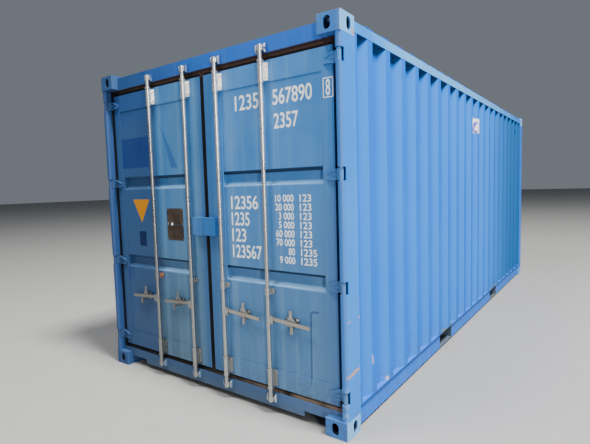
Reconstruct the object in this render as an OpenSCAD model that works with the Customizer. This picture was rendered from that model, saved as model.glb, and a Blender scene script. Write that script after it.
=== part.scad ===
// Twenty-foot steel shipping container, 8 ft 6 in high, with two hinged doors.
// Millimetres. The origin is the centre of the footprint, on the ground.
// X runs along the box: the doors are at -X and the blind end is at +X.
// Y runs across: "right" is the -Y side, as seen by someone facing the doors.

/* [Box] */
// Overall length
length = 6058; // [4000:1:12192]
// Overall width
width = 2438; // [2300:1:2600]
// Overall height
height = 2591; // [2300:1:2896]

/* [Corner castings] */
// Casting length, along the box
casting_l = 178; // [170:1:190]
// Casting width, across the box
casting_w = 162; // [155:1:170]
// Casting height
casting_h = 118; // [110:1:130]
// Wall round the hollow of a casting
casting_wall = 16; // [10:1:20]
// Thickness of the plate that the lock slot goes through
slot_plate = 28; // [20:1:32]
// Length of the lock slot
slot_l = 124.5; // [110:0.5:130]
// Width of the lock slot
slot_w = 63.5; // [55:0.5:66]
// Slot centre to the end of the box
slot_from_end = 102.5; // [95:0.5:105]
// Slot centre to the side of the box
slot_from_side = 89.5; // [80:0.5:92]
// Height of the side and end holes of a casting
port_h = 79.5; // [70:0.5:84]
// Width of the side and end holes of a casting
port_w = 51; // [40:0.5:56]
// Radius of the upright edges of a casting
casting_edge = 6; // [2:0.5:10]

/* [Door posts] */
// Width of the post's rounded nose beside the door
nose_w = 43; // [38:1:46]
// Radius of the nose's two round edges
nose_round = 18; // [14:1:18]
// Steel of the posts
post_wall = 6; // [4:0.5:7]
// Hinge pin, behind the end face of the box
pin_depth = 21; // [19:0.5:24]
// Door stop of the post, behind the end face of the box
jamb_depth = 115; // [112:1:130]
// Width of the post behind the door stop
jamb_w = 49; // [47:1:60]

/* [Blind end] */
// Blind-end post: width of its end face
end_post_w = 90; // [70:1:120]
// Blind-end post: width of its side box
end_post_side = 40; // [34:1:50]
// Blind-end post: depth of its inner box
end_post_box = 70; // [50:1:100]
// How far the blind end's steel sits inside the end of the box
end_inset = 4; // [2:1:10]
// Depth of the blind end's corrugation
end_wave_depth = 45; // [30:1:50]
// Distance from one corrugation of the blind end to the next
end_wave_pitch = 250; // [200:1:320]

/* [Header and sill] */
// Front face of the header and sill, behind the end face of the box
beam_depth = 56; // [52:1:60]
// Top of the header, below the top of the box
header_drop = 22; // [4:1:26]
// Bottom of the header, below the top of the box
header_low = 128; // [120:1:150]
// Underside of the sill
sill_low = 40; // [20:1:60]
// Top of the sill
sill_top = 145; // [135:1:160]
// Depth of the sill box, back from its front face
sill_d = 94; // [80:1:110]
// Steel of the header and sill
beam_wall = 6; // [4:0.5:8]
// Cut-out under the sill beside each casting: its length
sill_cut_l = 200; // [150:1:260]
// Cut-out under the sill: height of its roof above the ground
sill_cut_top = 77; // [65:1:90]
// How far the stops behind the doors reach past the header and sill
stop_lip = 22; // [10:1:26]

/* [Side rails] */
// Height of the top side rail
rail_h = 65; // [50:1:80]
// Top of the top side rail, below the top of the box
rail_drop = 26; // [20:1:30]
// Width of the top side rail
rail_w = 60; // [50:1:80]
// Steel of the top side rail
rail_wall = 4; // [3:0.5:6]
// Top of the bottom side rail
sole_top = 168; // [160:1:175]
// Underside of the bottom side rail
sole_low = 20; // [12:1:30]
// Web of the bottom side rail, inside the face of the box
sole_inset = 20; // [12:1:30]
// Steel of the bottom side rail
sole_wall = 5; // [4:0.5:6]
// Width of the bottom side rail's flanges
sole_flange = 46; // [42:1:60]

/* [Side walls and roof] */
// Wall and roof sheet
sheet = 2; // [1.6:0.1:3]
// How far the wall face sits inside the side of the box
wall_inset = 2; // [0:0.5:4]
// Depth of the side wall corrugation
wave_depth = 36; // [30:1:38]
// Distance from one side corrugation to the next
wave_pitch = 278; // [260:1:300]
// Outer flat of a side corrugation
wave_flat = 72; // [60:1:80]
// Run of a corrugation's slope
wave_slope = 68; // [40:1:80]
// Flat margin of the side sheet beside the post
wall_margin = 31; // [10:1:40]
// Height of the roof's pressed ribs
roof_rib = 18; // [12:1:20]
// Distance from one roof rib to the next
roof_pitch = 250; // [200:1:300]

/* [Floor] */
// Floor board thickness
floor_t = 28; // [21:1:30]
// Number of floor panels along the box
floor_panels = 5; // [3:1:10]
// Distance between cross members
cross_pitch = 286; // [250:1:350]
// Flange width of a cross member
cross_flange = 45; // [40:1:60]
// Steel of a cross member
cross_wall = 4.5; // [4:0.5:6]
// Fork pocket opening, along the box
pocket_l = 360; // [300:1:380]
// Distance between the two fork pockets' centres
pocket_span = 2050; // [1800:1:2080]
// Steel of the fork pockets
pocket_wall = 6; // [5:1:8]
// Depth of the plate under each mouth of a fork pocket
pocket_sole = 200; // [150:1:260]

/* [Door leaves] */
// Face of the door frame, behind the end face of the box
leaf_depth = 59; // [58:1:62]
// Thickness of a door leaf
leaf_t = 50; // [46:1:52]
// Gap between the door frame and the nose of the post
leaf_gap = 42; // [34:1:48]
// Half of the gap between the two door frames
seam_half = 20; // [14:1:25]
// Gap under a leaf, filled by its gasket
gap_below = 38; // [30:1:45]
// Gap over a leaf, filled by its gasket
gap_above = 44; // [30:1:50]
// Width of the frame on the hinge side
stile_w = 86; // [70:1:120]
// Width of the frame at the seam
seam_stile_w = 165; // [120:1:180]
// Height of the frame's top member
top_rail_h = 140; // [110:1:160]
// Height of the frame's bottom member
low_rail_h = 132; // [110:1:160]
// Steel of the door frame
frame_wall = 4; // [3:0.5:5]
// How far the panel sits behind the frame's face
panel_inset = 6; // [3:1:10]
// Depth of the channels pressed in the panel
channel_depth = 36; // [25:1:36]
// Height of a channel
channel_h = 108; // [90:1:130]
// Height of each slope of a channel
channel_slope = 24; // [15:1:35]
// Middle of the upper channel above the ground
channel_high_z = 1652; // [1500:1:1800]
// Middle of the lower channel above the ground
channel_low_z = 962; // [800:1:1100]
// Clearance of the gaskets from the steel round them
gasket_gap = 1; // [0.5:0.5:2]
// Share of a gasket's width that its raised lip takes
lip_share = 0.6; // [0.4:0.05:0.7]
// Height of the gasket's lip
lip_rise = 12; // [6:1:20]
// Half of the gap between the two doors' gaskets
gasket_seam = 3; // [2.5:0.5:4]

/* [Hinges] */
// Number of hinges on each door
hinges = 4; // [3:1:5]
// Middle of the lowest hinge above the bottom of the leaf
hinge_low = 85; // [50:1:100]
// Middle of the highest hinge below the top of the leaf
hinge_high = 78; // [50:1:100]
// Height of a hinge knuckle
knuckle_h = 76; // [64:1:90]
// Outer diameter of a knuckle
knuckle_d = 29; // [26:0.5:31]
// Gap over and under a knuckle in its notch
knuckle_gap = 3; // [2:0.5:5]
// Hinge pin diameter
pin_d = 16; // [12:0.5:18]
// Radial clearance of the pin in the knuckle
pin_play = 0.6; // [0.3:0.1:0.8]
// Depth of the notch for a knuckle, behind the end face of the box
notch_depth = 44; // [42:1:50]
// Thickness of a hinge blade
blade_t = 12; // [10:1:12]
// Reach of a hinge blade from the side of the box
blade_reach = 152; // [140:1:165]
// Top of a blade's tip above the middle of its hinge
blade_tip_up = 5; // [0:1:20]
// Bottom of a blade's tip below the middle of its hinge
blade_tip_down = 30; // [20:1:34]
// Height of the ribs on a hinge blade
blade_rib = 8; // [5:1:8]
// Width of the ribs on a hinge blade
rib_w = 8; // [6:1:10]

/* [Lock rods] */
// Rod diameter
rod_d = 30; // [28:1:36]
// Rod axis, behind the end face of the box
rod_depth = 26; // [26:1:28]
// Outer rod, from the middle of the box
rod_outer = 598; // [560:1:640]
// Inner rod, from the middle of the box
rod_inner = 172; // [165:1:200]
// Top of the rods, below the top of the box
rod_top_drop = 74; // [70:1:90]
// Bottom end of the rods above the ground
rod_low = 88; // [80:1:95]
// Play of a rod in its brackets, all round
rod_play = 0.5; // [0.4:0.1:1]
// Outer diameter of the bracket sleeves
sleeve_d = 38; // [34:1:46]
// Diameter of the collars at a sleeve's ends
collar_d = 45; // [42:1:52]
// Height of a collar
collar_h = 9; // [6:1:12]
// Height of the end brackets' sleeves
bracket_h = 146; // [120:1:150]
// How much shorter a bracket's plate is than its sleeve
plate_short = 28; // [20:1:34]
// Radius of the corners of a bracket's plate
plate_round = 8; // [4:1:8]
// Width of a bracket's plate
bracket_w = 82; // [70:1:90]
// Thickness of a bracket's plate
bracket_plate = 5; // [4:1:6]
// Height of the middle guides
guide_h = 46; // [36:1:60]
// Middle of the guides above the ground
guide_z = 868; // [800:1:950]
// Half width of a rod's cam across its ears
cam_half = 24; // [21:1:24]
// Thickness of a cam's ears
cam_t = 20; // [16:1:22]
// Height of a cam's ears
cam_h = 30; // [20:1:34]
// Inner gap from a rod's axis to each keeper cheek
keeper_gap = 30; // [30:1:34]
// Height of a keeper
keeper_h = 58; // [50:1:64]
// How far a keeper's cheeks stand out from its beam
keeper_out = 34; // [28:1:40]
// Thickness of a keeper's cheeks
keeper_t = 8; // [6:1:10]

/* [Handles] */
// Pivot of the handles above the ground
handle_z = 684; // [640:1:710]
// Height of a handle bar
handle_h = 24; // [20:1:26]
// Thickness of a handle bar
handle_t = 10; // [8:1:10]
// Reach of a handle from its rod
handle_reach = 346; // [320:1:360]
// Slope of a handle at rest, down from its pivot
handle_slope = 4; // [0:0.5:6]
// Handle pivot, from the rod's axis
pivot_reach = 34; // [31:1:40]
// Diameter of a handle's pivot pin
pivot_d = 12; // [10:1:13]
// Play of a handle on its pivot, all round
pivot_play = 0.4; // [0.3:0.1:0.6]
// Thickness of each plate of a handle hub
hub_plate = 5; // [4:1:6]
// Height of a handle hub
hub_h = 62; // [50:1:70]
// Middle of a handle hub below its pivot
hub_drop = 8; // [0:1:12]
// Gap between a handle and each plate of its hub
hub_gap = 1; // [0.5:0.1:1.2]
// Handle holder, from the rod's axis
holder_reach = 183; // [170:1:200]
// Gap between a handle at rest and the shelf under it
shelf_gap = 0.3; // [0.2:0.1:0.5]
// Width of a holder's plate
holder_w = 110; // [100:1:130]
// Height of a holder's plate
holder_h = 60; // [50:1:80]
// Thickness of a holder's ear
ear_t = 8; // [6:1:9]
// Middle of the ear's round top above the handle
ear_up = 72; // [60:1:80]
// Radius of the ear's round top
ear_r = 13; // [10:1:15]
// Half width of the ear at its foot
ear_foot = 42; // [30:1:48]
// Catch pivot, below the handle's middle
catch_drop = 28; // [27:1:32]
// Catch pivot, from the middle of its holder
catch_off = 24; // [20:1:30]
// Diameter of a catch's stud
stud_d = 10; // [8:1:12]
// Length of a catch between its two ends' centres
catch_l = 26; // [20:1:28]
// Radius of the free end of a catch
catch_r = 13; // [10:1:14]
// Radius of a catch round its stud
catch_boss = 10; // [8:1:10]
// Thickness of a catch
catch_t = 6; // [4:1:6]
// Front of a catch, behind the end face of the box
catch_depth = 8; // [7:1:9]

/* [Lock box and plate] */
// Width of the lock box over both doors
box_w = 235; // [200:1:250]
// Height of the lock box
box_h = 135; // [110:1:160]
// Middle of the lock box above the ground
box_z = 1300; // [1250:1:1400]
// Front of the lock box, behind the end face of the box
box_front = 12; // [8:1:20]
// Steel of the lock box
box_wall = 4; // [3:0.5:6]
// Half of the gap between the lock box's halves
box_seam = 3; // [2.5:0.5:5]
// Width of the two data plates
plate_w = 197; // [160:1:220]
// Height of each data plate
plate_h = 128; // [100:1:150]
// Middle of the pair of data plates above the ground
plate_z = 1302; // [1250:1:1350]
// Middle of the data plates from the middle of the box
plate_off = 382; // [370:1:420]
// Gap between the two data plates
plate_gap = 3; // [2:1:10]
// Radius of the corners of the data plates
plate_corner = 10; // [4:1:20]
// Thickness of the data plates
plate_t = 2; // [1:0.5:3]

/* [Hidden] */
$fn = 48;
eps = 0.5;

blue = [0.30, 0.52, 0.78];
door_blue = [0.25, 0.43, 0.66];
box_blue = [0.16, 0.42, 0.80];
zinc = [0.74, 0.75, 0.74];
rubber = [0.10, 0.09, 0.09];
wood = [0.62, 0.48, 0.32];

// Middle of the box across, in a door end's own frame
mid = width / 2;
rod_t = [mid - rod_outer, mid - rod_inner];

pin_t = nose_w / 2;
pin_r = pin_d / 2;
pin_seat = 0.3;
knuckle_r = knuckle_d / 2;
knuckle_bore_r = pin_r + pin_play;
crank_t = nose_w + 2;
crank_end_t = nose_w + 19;
blade_back = leaf_depth - blade_t;
blade_steps = 6;

header_top = height - header_drop;
header_bottom = height - header_low;
rail_top = height - rail_drop;
wall_top = rail_top - rail_h;
post_low = casting_h;
post_high = height - casting_h;

leaf_edge = nose_w + leaf_gap;
leaf_seam = width / 2 - seam_half;
leaf_low = sill_top + gap_below;
leaf_high = header_bottom - gap_above;
leaf_back = leaf_depth + leaf_t;
panel_edge = leaf_edge + stile_w;
panel_seam = leaf_seam - seam_stile_w;
panel_low = leaf_low + low_rail_h;
panel_high = leaf_high - top_rail_h;
panel_depth = leaf_depth + panel_inset;

hinge_first = leaf_low + hinge_low;
hinge_last = leaf_high - hinge_high;
notch_h = knuckle_h + 2 * knuckle_gap;
lug_h = 14;
lug_reach = 18;
lug_bore = pin_r + pin_seat;
rib_from = crank_end_t + 4;
rib_mid = 100;

rod_r = rod_d / 2;
rod_bore = rod_r + rod_play;
rod_high = height - rod_top_drop;
cam_end = 8;
cam_top_z = rod_high - cam_end - cam_h / 2;
cam_low_z = rod_low + cam_end + cam_h / 2;
cam_collar = 3;
bracket_top_z = leaf_high - bracket_h / 2;
bracket_low_z = leaf_low + bracket_h / 2;
guide_short = 8;
plate_front = leaf_depth - bracket_plate;

handle_front = rod_depth - handle_t / 2;
bar_l = handle_reach - pivot_reach - handle_h / 2;
bar_z = handle_z - (holder_reach - pivot_reach) * tan(handle_slope);
hub_front = handle_front - hub_gap - hub_plate;
hub_end = 12;
hub_rim = 6;
pivot_out = 3;
shelf_w = 44;
shelf_t = 5;
shelf_top = handle_z - (holder_reach + shelf_w / 2 - pivot_reach) * tan(handle_slope)
    - handle_h / 2 / cos(handle_slope) - shelf_gap;
ear_front = handle_front + handle_t + 2;
ear_block = 60;
seal_hole = 4;
catch_z = bar_z - catch_drop;
catch_hole = 5;
cross_top = sole_top - floor_t;
cross_low = sole_low + sole_wall;
pocket_reach = pocket_l / 2 + pocket_wall;

side_run = length - 2 * casting_l;
side_waves = floor((side_run - 2 * wave_slope - 3 * wave_flat) / wave_pitch);
side_start = (side_run - side_waves * wave_pitch) / 2 - wave_flat / 2;
end_run = width - 2 * end_post_w;
end_waves = floor((end_run - end_wave_pitch / 2) / end_wave_pitch);
end_start = (end_run - end_waves * end_wave_pitch) / 2;
roof_run = length - 2 * casting_l;
roof_waves = floor((roof_run - roof_pitch / 2) / roof_pitch);
roof_start = (roof_run - roof_waves * roof_pitch) / 2;
floor_from = beam_depth + sill_d;
floor_to = length - end_inset - end_post_box;
cross_count = floor((length / 2 - casting_l) / cross_pitch);

lip_low = lip_share * (leaf_low - sill_top - gasket_gap);
lip_high = lip_share * (header_bottom - gasket_gap - leaf_high);
lip_side = lip_share * (leaf_edge - nose_w - gasket_gap);
gasket_sink = 3;
seal_seam = mid - gasket_seam - leaf_seam;

// Places: the children are drawn with X back from an end face, Y in from a side face
module door_end_right() { translate([-length / 2, -width / 2, 0]) children(); }
module door_end_left() { mirror([0, 1, 0]) door_end_right() children(); }
module both_sides() { door_end_right() children(); door_end_left() children(); }
module blind_end() { mirror([1, 0, 0]) both_sides() children(); }

function hinge_z(i) = hinge_first + i * (hinge_last - hinge_first) / (hinges - 1);

// A straight-sided hole with round ends, long along X, cut along Z
module slot(l, w, depth) {
    for (s = [-1, 1]) translate([s * (l - w) / 2, 0, 0]) cylinder(d = w, h = depth, center = true);
    cube([l - w, w, depth], center = true);
}

// A block with its four upright edges rounded
module block_round(size, r) {
    for (x = [r, size[0] - r], y = [r, size[1] - r]) translate([x, y, 0]) cylinder(r = r, h = size[2]);
    translate([r, 0, 0]) cube([size[0] - 2 * r, size[1], size[2]]);
    translate([0, r, 0]) cube([size[0], size[1] - 2 * r, size[2]]);
}

// One corner casting, with its slot down and its outer corner at the origin
module casting() {
    difference() {
        block_round([casting_l, casting_w, casting_h], casting_edge);
        translate([casting_wall, casting_wall, slot_plate])
            cube([casting_l - 2 * casting_wall, casting_w - 2 * casting_wall,
                casting_h - slot_plate - casting_wall / 2]);
        translate([slot_from_end, slot_from_side, slot_plate / 2]) slot(slot_l, slot_w, slot_plate + 2 * eps);
        translate([casting_wall / 2, slot_from_side, casting_h / 2])
            rotate([0, 90, 0]) slot(port_h, port_w, casting_wall + 2 * eps);
        translate([slot_from_end, casting_wall / 2, casting_h / 2])
            rotate([0, 90, 90]) slot(port_h, port_w, casting_wall + 2 * eps);
    }
}

module four_castings() {
    both_sides() casting();
    blind_end() casting();
}

module corner_castings_bottom() color(blue) four_castings();

module corner_castings_top()
    color(blue) translate([0, 0, height]) mirror([0, 0, 1]) four_castings();

// Door post: a pressed hollow section with a round nose and notches for the hinges
module post_outline(inset) {
    for (t = [nose_round, nose_w - nose_round]) translate([pin_depth, t]) circle(r = nose_round - inset);
    translate([pin_depth - nose_round + inset, nose_round])
        square([nose_round, nose_w - 2 * nose_round]);
    translate([pin_depth, inset]) square([casting_l - inset - pin_depth, nose_w - 2 * inset]);
    translate([jamb_depth + inset, inset]) square([casting_l - 2 * inset - jamb_depth, jamb_w - 2 * inset]);
}

module hinge_notch() {
    translate([-eps, -eps, -notch_h / 2]) cube([notch_depth + eps, nose_w + 2 * eps, notch_h]);
    translate([-eps, pin_t, -notch_h / 2]) cube([leaf_depth + eps, nose_w, notch_h]);
    translate([pin_depth, pin_t, -notch_h / 2 - lug_h - eps])
        cylinder(r = lug_bore, h = notch_h + 2 * lug_h + 2 * eps);
}

module door_post() {
    difference() {
        union() {
            translate([0, 0, post_low]) linear_extrude(post_high - post_low) difference() {
                post_outline(0);
                post_outline(post_wall);
            }
            for (i = [0 : hinges - 1], s = [-1, 1])
                translate([0, 0, hinge_z(i) + s * (notch_h + lug_h) / 2 - lug_h / 2])
                    linear_extrude(lug_h) intersection() {
                        post_outline(post_wall / 2);
                        square([pin_depth + lug_reach, nose_w]);
                    }
        }
        for (i = [0 : hinges - 1]) translate([0, 0, hinge_z(i)]) hinge_notch();
    }
}

module door_post_right() color(blue) door_end_right() door_post();
module door_post_left() color(blue) door_end_left() door_post();

module hinge_pins() color(zinc) both_sides()
    for (i = [0 : hinges - 1])
        translate([pin_depth, pin_t, hinge_z(i) - notch_h / 2 - lug_h]) cylinder(r = pin_r, h = notch_h + 2 * lug_h);

// Blind-end post: a folded hollow section
module end_post_outline(inset) {
    translate([end_inset + inset, inset]) square([casting_l - end_inset - 2 * inset, end_post_side - 2 * inset]);
    translate([end_inset + inset, inset]) square([end_post_box - 2 * inset, end_post_w - 2 * inset]);
}

module end_posts() color(blue) blind_end()
    translate([0, 0, post_low]) linear_extrude(post_high - post_low) difference() {
        end_post_outline(0);
        end_post_outline(post_wall);
    }

// Header over the doors: a hollow box between the top castings, with a stop behind the gaskets
module header_box(inset) {
    translate([beam_depth + inset, casting_w - inset, post_high + inset])
        cube([casting_l - beam_depth - 2 * inset, width - 2 * casting_w + 2 * inset, header_top - post_high - 2 * inset]);
}

module door_header() color(blue) translate([-length / 2, -width / 2, 0]) {
    difference() {
        header_box(0);
        translate([0, beam_wall, 0]) header_box(beam_wall);
        translate([0, -beam_wall, 0]) header_box(beam_wall);
    }
    translate([beam_depth, nose_w, header_bottom])
        cube([jamb_depth - beam_depth, width - 2 * nose_w, post_high - header_bottom]);
    translate([jamb_depth, jamb_w, header_bottom - stop_lip])
        cube([beam_wall, width - 2 * jamb_w, post_high - header_bottom + stop_lip]);
}

// Sill under the doors: a hollow box between the bottom castings, cut away beside each casting
module door_sill() color(blue) translate([-length / 2, -width / 2, 0]) {
    difference() {
        union() {
            translate([beam_depth, casting_w, sill_low])
                cube([sill_d, width - 2 * casting_w, sill_top - sill_low]);
            translate([beam_depth, nose_w, casting_h])
                cube([jamb_depth - beam_depth, width - 2 * nose_w, sill_top - casting_h]);
            translate([beam_depth, jamb_w, casting_h])
                cube([sill_d, width - 2 * jamb_w, sill_top - casting_h]);
        }
        translate([beam_depth + beam_wall, casting_w + sill_cut_l, sill_low - eps])
            cube([sill_d - 2 * beam_wall, width - 2 * (casting_w + sill_cut_l), sill_top - sill_low - beam_wall + eps]);
        for (t = [casting_w - eps, width - casting_w - sill_cut_l])
            translate([beam_depth - eps, t, sill_low - eps])
                cube([sill_d + 2 * eps, sill_cut_l + eps, sill_cut_top - sill_low + eps]);
    }
    translate([jamb_depth, jamb_w, sill_top]) cube([beam_wall, width - 2 * jamb_w, stop_lip]);
}

// Top side rails: square tubes between the castings
module top_side_rails() color(blue) both_sides()
    translate([casting_l, wall_inset, wall_top]) difference() {
        cube([length - 2 * casting_l, rail_w, rail_h]);
        translate([-eps, rail_wall, rail_wall])
            cube([length - 2 * casting_l + 2 * eps, rail_w - 2 * rail_wall, rail_h - 2 * rail_wall]);
    }

// Bottom side rails: pressed channels in three lengths, with the fork pockets between them
module sole_outline() {
    translate([wall_inset, sole_top - sole_wall]) square([sole_flange - wall_inset, sole_wall]);
    translate([sole_inset, sole_low]) square([sole_wall, sole_top - sole_low]);
    translate([sole_inset, sole_low]) square([sole_flange, sole_wall]);
}

module bottom_side_rails() color(blue) both_sides() difference() {
    translate([casting_l, 0, 0]) rotate([90, 0, 90]) linear_extrude(length - 2 * casting_l) sole_outline();
    for (s = [-1, 1])
        translate([length / 2 + s * pocket_span / 2 - pocket_reach, 0, sole_low - eps])
            cube([2 * pocket_reach, sole_inset + sole_flange + eps, sole_top - sole_low + 2 * eps]);
}

// Blind end rails
module end_top_rail() color(blue) translate([length / 2 - casting_l, -width / 2 + casting_w, 0])
    difference() {
        translate([0, 0, post_high]) cube([casting_l - end_inset, width - 2 * casting_w, header_top - post_high]);
        translate([beam_wall, -eps, post_high + beam_wall])
            cube([casting_l - end_inset - 2 * beam_wall, width - 2 * casting_w + 2 * eps,
                header_top - post_high - 2 * beam_wall]);
    }

module end_bottom_rail() color(blue)
    translate([length / 2 - end_inset - end_post_box, -width / 2, 0]) difference() {
        union() {
            translate([0, casting_w, sole_low]) cube([end_post_box, width - 2 * casting_w, sole_top - sole_low]);
            translate([0, end_post_w, casting_h]) cube([end_post_box, width - 2 * end_post_w, sole_top - casting_h]);
        }
        translate([-eps, end_post_w - eps, sole_low + beam_wall])
            cube([end_post_box - beam_wall + eps, width - 2 * end_post_w + 2 * eps,
                sole_top - sole_low - 2 * beam_wall]);
    }

// Corrugated sheet: the outer line of the folds, then the same line shifted by the sheet
module folded_sheet(line, t, h)
    linear_extrude(h) polygon(concat(line, [for (i = [len(line) - 1 : -1 : 0]) line[i] + [0, t]]));

side_line = concat(
    [[0, 0], [wall_margin, 0], [wall_margin + wave_depth / 2, wave_depth], [side_start - wave_slope, wave_depth]],
    [for (i = [0 : side_waves - 1], k = [0 : 3])
        [side_start + i * wave_pitch + [0, wave_flat, wave_flat + wave_slope, wave_pitch - wave_slope][k],
            k < 2 ? 0 : wave_depth]],
    [[side_run - side_start - wave_flat, 0], [side_run - side_start, 0],
        [side_run - side_start + wave_slope, wave_depth],
        [side_run - wall_margin - wave_depth / 2, wave_depth], [side_run - wall_margin, 0], [side_run, 0]]);

module side_wall() translate([casting_l, wall_inset, sole_top]) folded_sheet(side_line, sheet, wall_top - sole_top);
module side_wall_right() color(blue) door_end_right() side_wall();
module side_wall_left() color(blue) door_end_left() side_wall();

end_line = concat([[0, 0]],
    [for (i = [0 : end_waves - 1], k = [0 : 3])
        [end_start + (i + [0.15, 0.35, 0.65, 0.85][k]) * end_wave_pitch, k == 0 || k == 3 ? 0 : end_wave_depth]],
    [[end_run, 0]]);

module end_wall() color(blue)
    translate([length / 2 - end_inset - beam_wall, -width / 2 + end_post_w, sole_top])
        rotate([0, 0, 90]) folded_sheet(end_line, sheet, post_high - sole_top);

// Roof: sheets with ribs pressed across the box
roof_line = concat([[0, 0]],
    [for (i = [0 : roof_waves - 1], k = [0 : 3])
        [roof_start + (i + [0.18, 0.3, 0.7, 0.82][k]) * roof_pitch, k == 0 || k == 3 ? 0 : roof_rib - sheet]],
    [[roof_run, 0]]);

module roof() color(blue)
    translate([-length / 2 + casting_l, width / 2 - rail_w / 4, rail_top])
        rotate([90, 0, 0]) folded_sheet(roof_line, sheet, width - rail_w / 2);

// Floor: plywood panels on steel channels
module floor_boards() color(wood)
    for (i = [0 : floor_panels - 1])
        translate([-length / 2 + floor_from + i * (floor_to - floor_from) / floor_panels,
            -width / 2 + jamb_w, cross_top])
            cube([(floor_to - floor_from) / floor_panels - 1, width - 2 * jamb_w, floor_t]);

module cross_member() rotate([90, 0, 0]) linear_extrude(width - 2 * (sole_inset + sole_wall), center = true)
    difference() {
        square([cross_flange, cross_top - cross_low]);
        translate([cross_wall, cross_wall]) square([cross_flange, cross_top - cross_low - 2 * cross_wall]);
    }

module cross_members() color(blue)
    for (i = [-cross_count : cross_count - 1])
        let (x = (i + 0.5) * cross_pitch)
            if (abs(abs(x) - pocket_span / 2) > pocket_reach + cross_flange)
                translate([x - cross_flange / 2, 0, cross_low]) cross_member();

// Fork pockets: two sides and a top across the box, with the rail's line carried over each mouth
module pocket_strap() translate([-pocket_reach, -width / 2, 0])
    rotate([90, 0, 90]) linear_extrude(2 * pocket_reach) intersection() {
        sole_outline();
        translate([0, cross_top - pocket_wall]) square(sole_top);
    }

module fork_pocket_tops() color(blue)
    for (s = [-1, 1]) translate([s * pocket_span / 2, 0, 0]) {
        translate([-pocket_reach, -width / 2 + sole_inset, cross_top - pocket_wall])
            cube([2 * pocket_reach, width - 2 * sole_inset, pocket_wall]);
        pocket_strap();
        mirror([0, 1, 0]) pocket_strap();
    }

module fork_pocket_sides() color(blue)
    for (s = [-1, 1], k = [-1, 1])
        translate([s * pocket_span / 2 + k * (pocket_l + pocket_wall) / 2 - pocket_wall / 2,
            -width / 2 + sole_inset, sole_low + sole_wall])
            cube([pocket_wall, width - 2 * sole_inset, cross_top - pocket_wall - sole_low - sole_wall]);

module fork_pocket_soles() color(blue) both_sides()
    for (s = [-1, 1])
        translate([length / 2 + s * pocket_span / 2 - pocket_reach, sole_inset, sole_low])
            cube([2 * pocket_reach, pocket_sole, sole_wall]);

// Keepers on the header and sill: a plate and two cheeks that hold a rod's cam between them
module keeper() {
    translate([beam_depth - bracket_plate, -keeper_gap - keeper_t, -keeper_h / 2])
        cube([bracket_plate, 2 * (keeper_gap + keeper_t), keeper_h]);
    for (s = [-1, 1])
        translate([0, s * (keeper_gap + keeper_t / 2) + keeper_t / 2, 0]) rotate([90, 0, 0])
            linear_extrude(keeper_t) polygon([
                [beam_depth - bracket_plate, -keeper_h / 2], [beam_depth - bracket_plate, keeper_h / 2],
                [beam_depth - 0.6 * keeper_out, keeper_h / 2], [beam_depth - keeper_out, keeper_h / 4],
                [beam_depth - keeper_out, -keeper_h / 4], [beam_depth - 0.6 * keeper_out, -keeper_h / 2]]);
}

module cam_keepers() color(blue) both_sides()
    for (t = rod_t, z = [cam_top_z, cam_low_z]) translate([0, t, z]) keeper();

// Door leaf: a hollow frame, a pressed panel and a rubber gasket all round
module ring(t0, t1, z0, z1, left, right, low, high, depth) {
    difference() {
        translate([0, t0, z0]) cube([depth, t1 - t0, z1 - z0]);
        translate([-eps, t0 + left, z0 + low])
            cube([depth + 2 * eps, t1 - t0 - left - right, z1 - z0 - low - high]);
    }
}

module door_frame() translate([leaf_depth, 0, 0]) difference() {
    ring(leaf_edge, leaf_seam, leaf_low, leaf_high, stile_w, seam_stile_w, low_rail_h, top_rail_h, leaf_t);
    translate([frame_wall, 0, 0])
        ring(leaf_edge + frame_wall, leaf_seam - frame_wall, leaf_low + frame_wall, leaf_high - frame_wall,
            stile_w - 2 * frame_wall, seam_stile_w - 2 * frame_wall, low_rail_h - 2 * frame_wall,
            top_rail_h - 2 * frame_wall, leaf_t - 2 * frame_wall);
}

function channel(z) = [
    [z - channel_h / 2, 0], [z - channel_h / 2 + channel_slope, channel_depth],
    [z + channel_h / 2 - channel_slope, channel_depth], [z + channel_h / 2, 0]];
panel_line = concat([[panel_low, 0]], channel(channel_low_z), channel(channel_high_z), [[panel_high, 0]]);

module door_panel() translate([panel_depth, panel_edge, 0])
    rotate([0, -90, -90]) folded_sheet(panel_line, sheet, panel_seam - panel_edge);

module door_gasket() translate([leaf_depth + gasket_sink, 0, 0]) {
    ring(nose_w + gasket_gap, mid - gasket_seam, sill_top + gasket_gap, header_bottom - gasket_gap,
        lip_side, seal_seam, lip_low, lip_high, leaf_t);
    translate([lip_rise, 0, 0])
        ring(nose_w + gasket_gap, mid - gasket_seam, sill_top + gasket_gap, header_bottom - gasket_gap,
            leaf_edge - nose_w - gasket_gap, seal_seam, leaf_low - sill_top - gasket_gap,
            header_bottom - gasket_gap - leaf_high, leaf_t - lip_rise);
}

// Hinge: a knuckle round the pin and a tapered blade on the door frame, with three ribs
function blade_at(i) = nose_w + (blade_reach - nose_w) * i / blade_steps;
function blade_share(t) = (t - nose_w) / (blade_reach - nose_w);
function blade_top(t) = knuckle_h / 2 - (knuckle_h / 2 - blade_tip_up) * pow(blade_share(t), 1.35);
function blade_low(t) = -knuckle_h / 2 + (knuckle_h / 2 - blade_tip_down) * blade_share(t);

module blade_plan() polygon([
    [pin_depth + 0.4 * knuckle_r, pin_t + 0.85 * knuckle_r], [notch_depth - 3, crank_t],
    [blade_back, crank_end_t], [blade_back, blade_reach], [leaf_depth, blade_reach],
    [leaf_depth, rib_from], [leaf_depth - 2, crank_t],
    [pin_depth + 0.85 * knuckle_r, pin_t - 0.4 * knuckle_r]]);

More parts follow.
